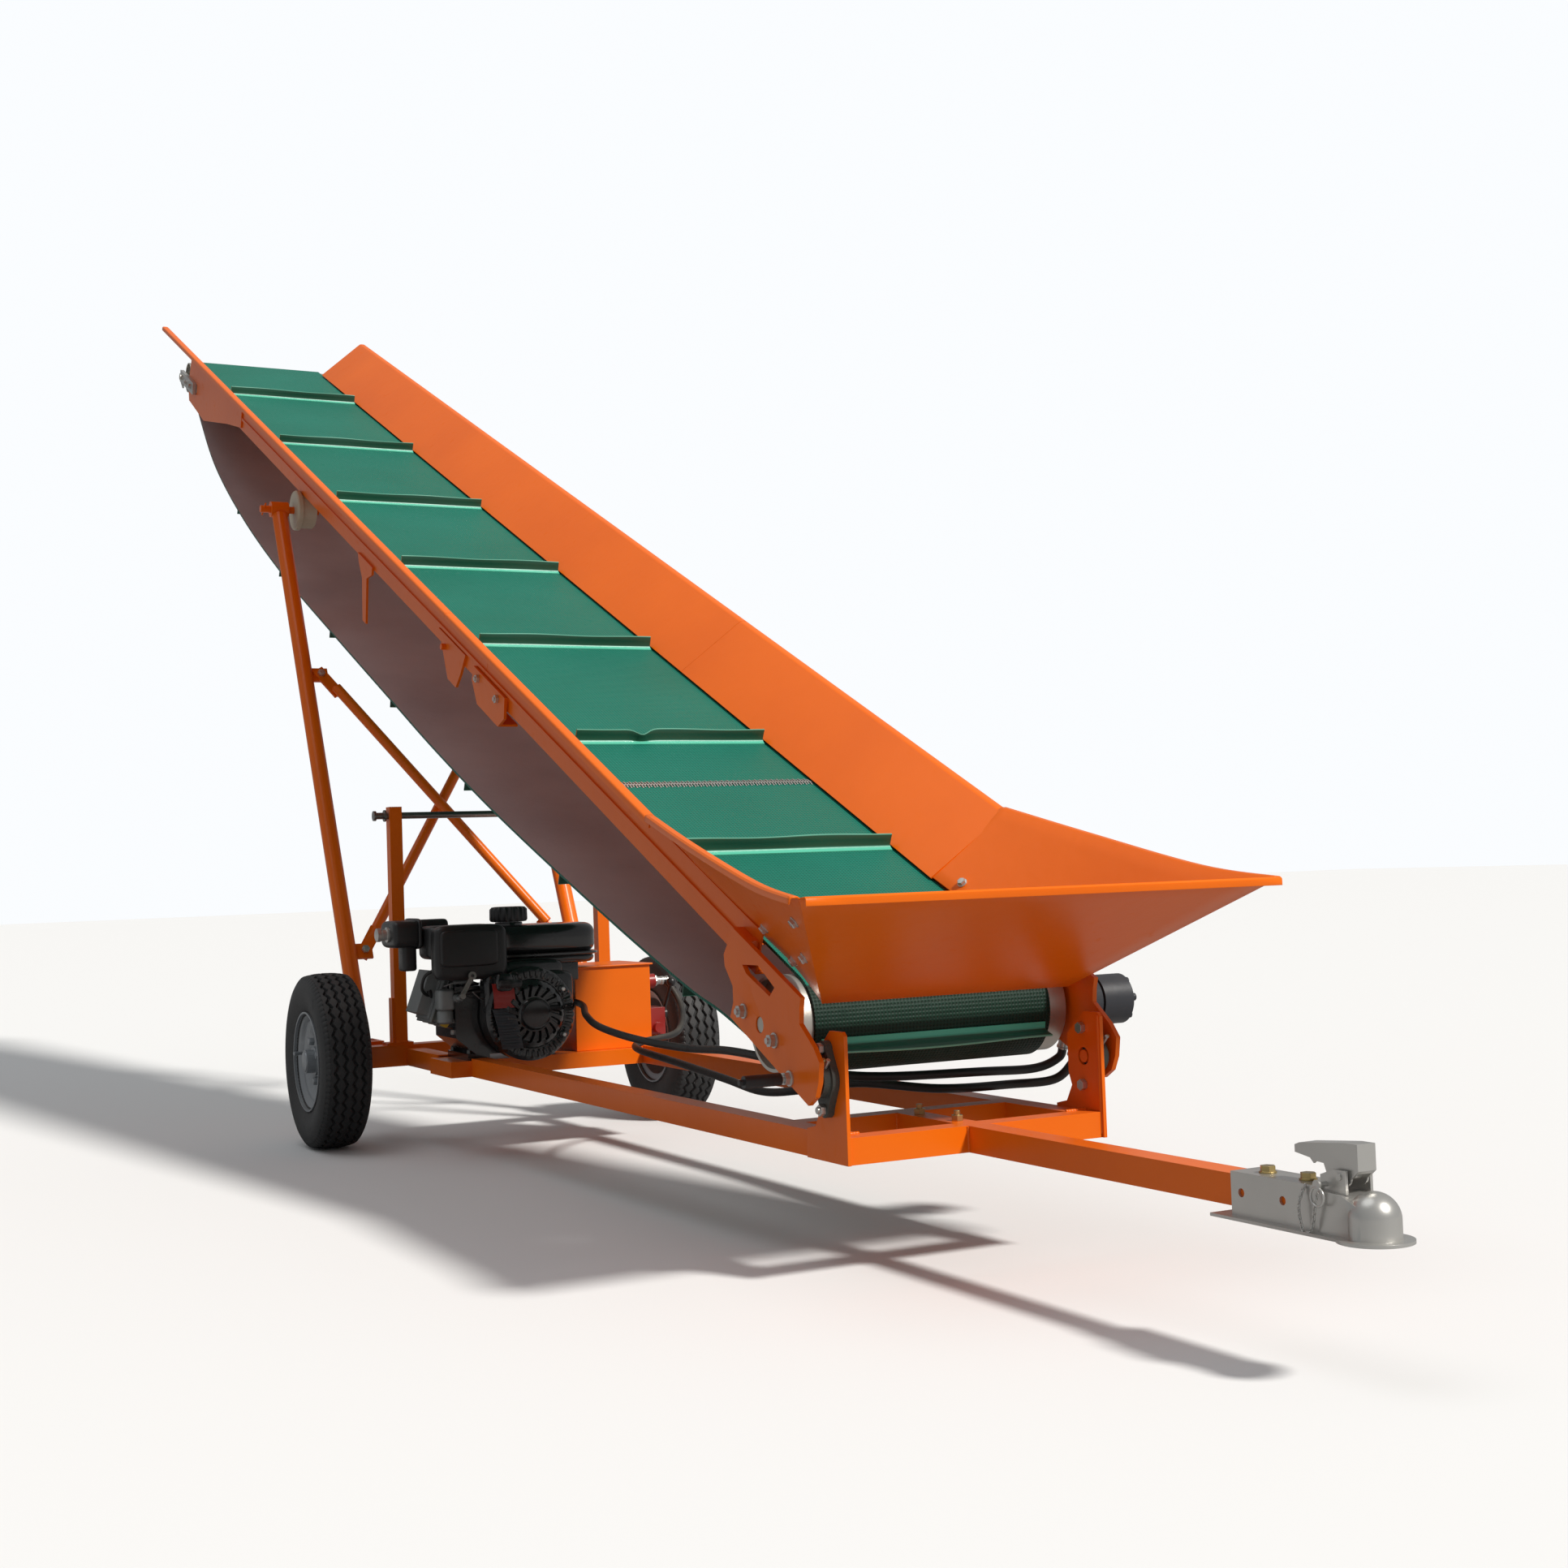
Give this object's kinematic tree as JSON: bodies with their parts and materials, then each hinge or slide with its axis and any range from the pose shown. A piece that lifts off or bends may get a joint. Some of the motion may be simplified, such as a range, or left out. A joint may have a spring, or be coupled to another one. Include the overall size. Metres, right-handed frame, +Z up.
{
  "type": "towable belt conveyor",
  "caption": "Orange towable belt conveyor for grain and seed: feed hopper, cleated green belt, swinging lift legs, two-wheel chassis with drawbar, engine and hydraulic drive.",
  "frame": {"origin": "centre of the footprint, on the ground", "axes": "+Z up, +Y from the drawbar towards the discharge end, +X to the right seen from the drawbar"},
  "size_m": [0.993, 5.492, 2.538],
  "materials": {
    "orange paint": "gloss",
    "bare steel": "satin",
    "zinc plate": "satin",
    "yellow zinc": "satin",
    "cast bearing": "matt",
    "roller steel": "satin",
    "black paint": "gloss",
    "black plastic": "satin",
    "cast aluminium": "matt",
    "pump grey": "satin",
    "valve red": "satin",
    "yellow plastic": "satin",
    "hose rubber": "matt",
    "tyre rubber": "matt",
    "wheel paint": "satin",
    "nylon": "satin",
    "belt": "matt",
    "cleat": "satin"
  },
  "bodies": {
    "chassis": {"main_frame": "orange paint", "pivot_plates": "orange paint", "pivot_bearings": "cast bearing", "bearing_bolts": "zinc plate", "support_posts": "orange paint", "post_rod": "bare steel", "drawbar": "orange paint", "coupler_body": "zinc plate", "coupler_bolts": "yellow zinc", "oil_tank": "orange paint", "tank_breather": "zinc plate", "valve_block": "valve red", "engine_block": "black paint", "cylinder_head": "cast aluminium", "engine_shroud": "black paint", "recoil_cover": "black paint", "fuel_tank": "black paint", "air_cleaner": "black plastic", "hydraulic_pump": "pump grey", "pressure_hose": "hose rubber", "return_hose": "hose rubber"},
    "conveyor": {"rails_lower": "orange paint", "rails_upper": "orange paint", "boards_lower": "orange paint", "boards_upper": "orange paint", "belt_bed": "orange paint", "splice_brackets": "orange paint", "rail_brackets": "orange paint", "tail_arms": "orange paint", "arm_bolts": "zinc plate", "hopper_front": "orange paint", "hopper_sides": "orange paint", "hopper_bolts": "zinc plate", "head_plates": "orange paint", "head_takeups": "bare steel", "hydraulic_motor": "black paint", "belt": "belt", "cleats": "cleat", "belt_lacing": "zinc plate", "stop_peg": "black plastic"},
    "lift_legs": {"leg_left": "orange paint", "leg_right": "orange paint", "cross_braces": "orange paint", "brace_bolts": "zinc plate"},
    "runner_left": {"runner_left": "nylon"},
    "runner_right": {"runner_right": "nylon"},
    "wheel_left": {"tyre_left": "tyre rubber", "rim_left": "wheel paint"},
    "wheel_right": {"tyre_right": "tyre rubber", "rim_right": "wheel paint"},
    "tail_drum": {"tail_drum": "roller steel"},
    "head_roller": {"head_roller": "roller steel"},
    "coupler_latch": {"coupler_latch": "zinc plate"},
    "safety_pin": {"safety_pin": "zinc plate"},
    "valve_lever": {"valve_lever": "black paint"},
    "throttle_lever": {"throttle_lever": "bare steel"},
    "recoil_handle": {"recoil_handle": "black plastic"},
    "fuel_cap": {"fuel_cap": "black plastic"},
    "oil_cap": {"oil_cap": "yellow plastic"}
  },
  "joints": [
    {"name": "conveyor_tilt", "type": "hinge", "parent": "chassis", "child": "conveyor", "pos_m": [0, -1.826, 0.304], "axis": [1, 0, 0], "range_deg": [-4, 5], "deforming": ["pressure_hose", "return_hose"]},
    {"name": "leg_swing", "type": "hinge", "parent": "chassis", "child": "lift_legs", "pos_m": [0, 0.438, 0.204], "axis": [1, 0, 0], "range_deg": [-13.5, 13.5]},
    {"name": "runner_left_spin", "type": "hinge", "parent": "lift_legs", "child": "runner_left", "pos_m": [-0.233, 1.16031, 1.66852], "axis": [1, 0, 0], "continuous": true},
    {"name": "runner_right_spin", "type": "hinge", "parent": "lift_legs", "child": "runner_right", "pos_m": [0.233, 1.16031, 1.66852], "axis": [1, 0, 0], "continuous": true},
    {"name": "wheel_left_spin", "type": "hinge", "parent": "chassis", "child": "wheel_left", "pos_m": [-0.438, 0.264, 0.204], "axis": [1, 0, 0], "continuous": true},
    {"name": "wheel_right_spin", "type": "hinge", "parent": "chassis", "child": "wheel_right", "pos_m": [0.438, 0.264, 0.204], "axis": [1, 0, 0], "continuous": true},
    {"name": "tail_drum_spin", "type": "hinge", "parent": "conveyor", "child": "tail_drum", "pos_m": [0, -1.67541, 0.37815], "axis": [1, 0, 0], "continuous": true},
    {"name": "head_roller_spin", "type": "hinge", "parent": "conveyor", "child": "head_roller", "pos_m": [0, 2.69257, 2.40436], "axis": [1, 0, 0], "continuous": true},
    {"name": "latch_lift", "type": "hinge", "parent": "chassis", "child": "coupler_latch", "pos_m": [0, -2.666, 0.238], "axis": [1, 0, 0], "range_deg": [0, 50]},
    {"name": "safety_pin_pull", "type": "slide", "parent": "chassis", "child": "safety_pin", "axis": [-1, 0, 0], "range_m": [0, 0.06]},
    {"name": "valve_lever_swing", "type": "hinge", "parent": "chassis", "child": "valve_lever", "pos_m": [0.264, -0.084, 0.286], "axis": [1, 0, 0], "range_deg": [-25, 25]},
    {"name": "throttle_swing", "type": "hinge", "parent": "chassis", "child": "throttle_lever", "pos_m": [-0.24, -0.218, 0.406], "axis": [0, 1, 0], "range_deg": [-20, 20]},
    {"name": "recoil_pull", "type": "slide", "parent": "chassis", "child": "recoil_handle", "axis": [0, -1, 0], "range_m": [0, 0.25]},
    {"name": "fuel_cap_turn", "type": "hinge", "parent": "chassis", "child": "fuel_cap", "pos_m": [-0.117, -0.116, 0.525], "axis": [0, 0, 1], "continuous": true},
    {"name": "oil_cap_turn", "type": "hinge", "parent": "chassis", "child": "oil_cap", "pos_m": [-0.262, -0.132, 0.3], "axis": [-0.9063, 0, 0.4226], "continuous": true}
  ],
  "couplings": [
    {"joint": "leg_swing", "follows": "conveyor_tilt", "ratio": 2.6},
    {"joint": "head_roller_spin", "follows": "tail_drum_spin", "ratio": 1.4453}
  ]
}
